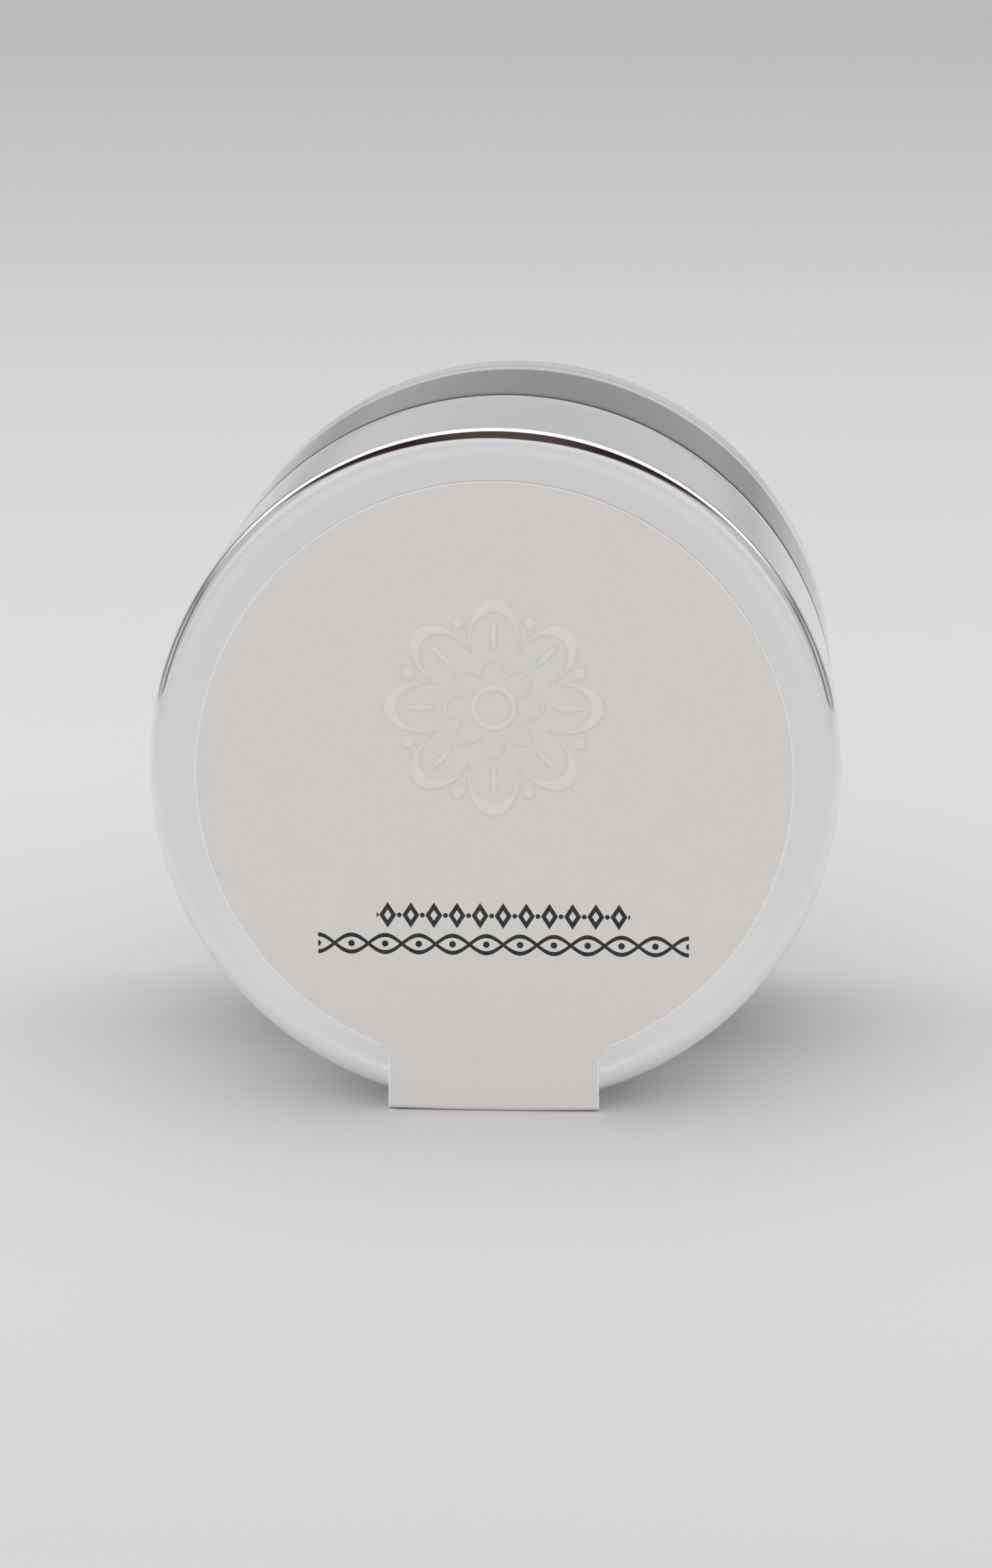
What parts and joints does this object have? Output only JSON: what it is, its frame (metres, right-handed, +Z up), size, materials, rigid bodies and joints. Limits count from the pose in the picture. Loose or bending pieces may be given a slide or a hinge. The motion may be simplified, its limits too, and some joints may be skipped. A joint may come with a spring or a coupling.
{
  "type": "shoe cream jar",
  "caption": "Round clear jar of black shoe cream lying on its side, with a smooth screw-on metal lid and a round paper label whose tab folds over the lid's edge.",
  "frame": {"origin": "centre of the bounding box, at its bottom: on the surface that the jar lies on, under the middle of the jar's length", "axes": "+Y along the jar's axis from the lid's face to the glass base, +Z up from the surface that it lies on, +X to the right as the lid's face is looked at"},
  "size_m": [0.065, 0.0552, 0.0653],
  "materials": {
    "clear_glass": "clear, polished",
    "black_cream": "soft waxy gloss",
    "disc_plastic": "translucent white, satin",
    "foam": "fine closed-cell foam, matt",
    "insert_plastic": "white moulded, satin",
    "polished_aluminium": "bright polished, clear lacquered",
    "label_paper": "uncoated cream paper, blind embossed"
  },
  "bodies": {
    "jar": {"glass_jar": "clear_glass", "polish": "black_cream", "sealing_disc": "disc_plastic", "seal_strip": "label_paper"},
    "wad": {"lid_wad": "foam"},
    "lid": {"lid_insert": "insert_plastic", "lid_shell": "polished_aluminium", "lid_label": "label_paper"}
  },
  "joints": [
    {"name": "lid_rise", "type": "slide", "parent": "jar", "child": "wad", "axis": [0, -1, 0], "range_m": [0, 0.04]},
    {"name": "lid_turn", "type": "hinge", "parent": "wad", "child": "lid", "pos_m": [0, -0.02, 0.0328], "axis": [0, -1, 0], "range_deg": [0, 3600]}
  ],
  "couplings": [
    {"joint": "lid_rise", "follows": "lid_turn", "m_per_rad": 0.00063662}
  ]
}
